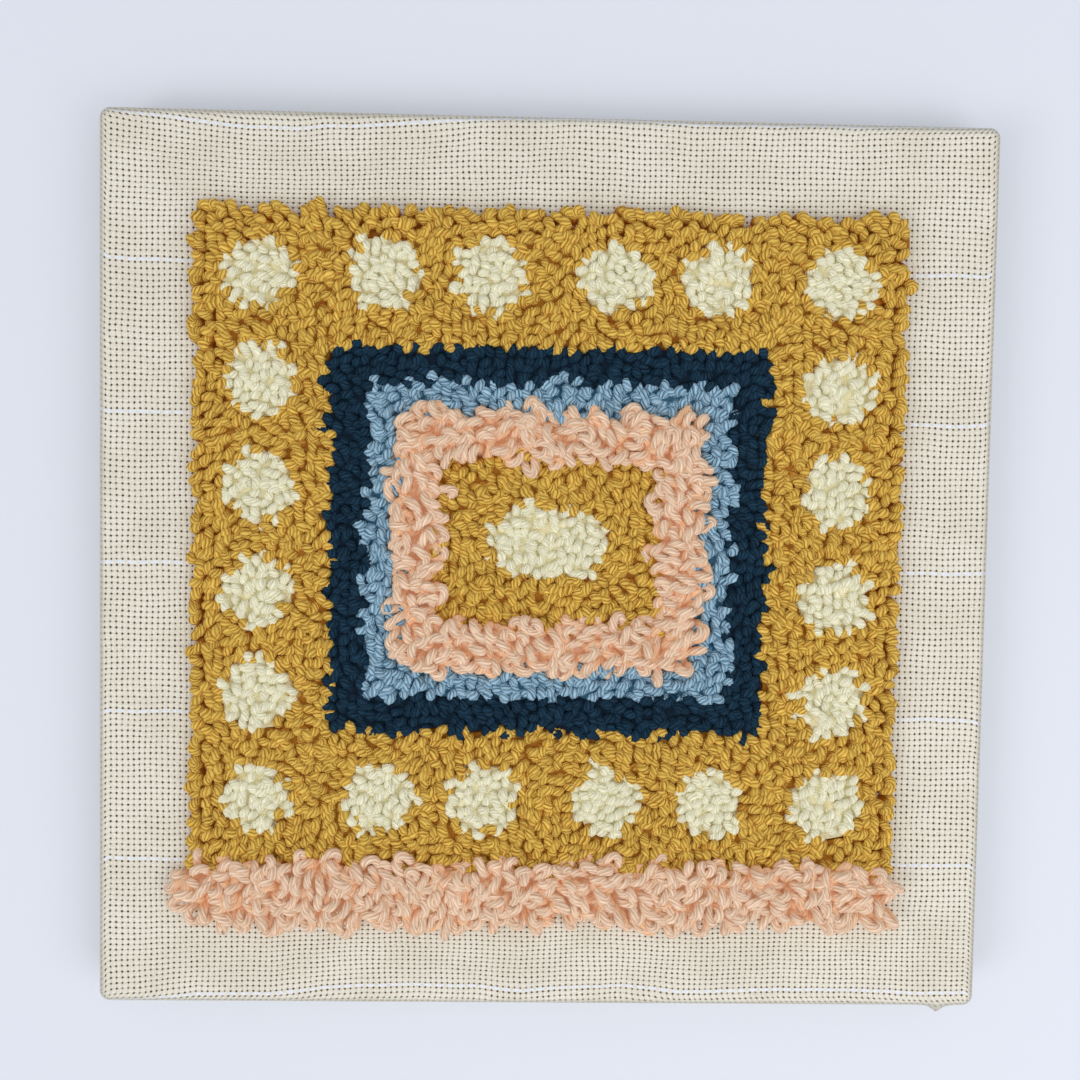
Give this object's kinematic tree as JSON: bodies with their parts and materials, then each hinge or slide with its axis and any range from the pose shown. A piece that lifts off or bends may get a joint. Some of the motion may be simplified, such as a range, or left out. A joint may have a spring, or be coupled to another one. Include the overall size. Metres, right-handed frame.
{
  "type": "punch needle wall piece on a stretcher frame",
  "caption": "Square natural cloth stretched over a mitred wooden frame, with a punched panel of short looped yarn pile in a dotted border and nested frames, and shag loops along its hem.",
  "frame": {"origin": "middle of the back, on the surface that the turned-under cloth lies on", "axes": "+Z out of the face, +Y up the face towards the top bar, +X to the right as seen from the front"},
  "size_m": [0.3048, 0.3069, 0.0324],
  "materials": {
    "pine": "bare planed softwood",
    "natural_cloth": "unbleached even-weave cotton with white guide threads",
    "yarn_mustard": "plied wool yarn, looped pile",
    "yarn_cream": "plied wool yarn, looped pile",
    "yarn_navy": "plied wool yarn, looped pile",
    "yarn_blue": "plied wool yarn, looped pile",
    "yarn_peach": "loosely plied wool yarn, long floppy loops"
  },
  "bodies": {
    "root": {"bar_top": "pine", "bar_left": "pine", "bar_bottom": "pine", "bar_right": "pine", "cloth": "natural_cloth", "pile_border": "yarn_mustard", "pile_navy_frame": "yarn_navy", "pile_blue_frame": "yarn_blue", "pile_peach_frame": "yarn_peach", "pile_centre": "yarn_mustard", "pile_oval": "yarn_cream", "pile_hem": "yarn_peach", "pile_dot_01": "yarn_cream", "pile_dot_02": "yarn_cream", "pile_dot_03": "yarn_cream", "pile_dot_04": "yarn_cream", "pile_dot_05": "yarn_cream", "pile_dot_06": "yarn_cream", "pile_dot_07": "yarn_cream", "pile_dot_08": "yarn_cream", "pile_dot_09": "yarn_cream", "pile_dot_10": "yarn_cream", "pile_dot_11": "yarn_cream", "pile_dot_12": "yarn_cream", "pile_dot_13": "yarn_cream", "pile_dot_14": "yarn_cream", "pile_dot_15": "yarn_cream", "pile_dot_16": "yarn_cream", "pile_dot_17": "yarn_cream", "pile_dot_18": "yarn_cream", "pile_dot_19": "yarn_cream", "pile_dot_20": "yarn_cream"}
  },
  "joints": []
}
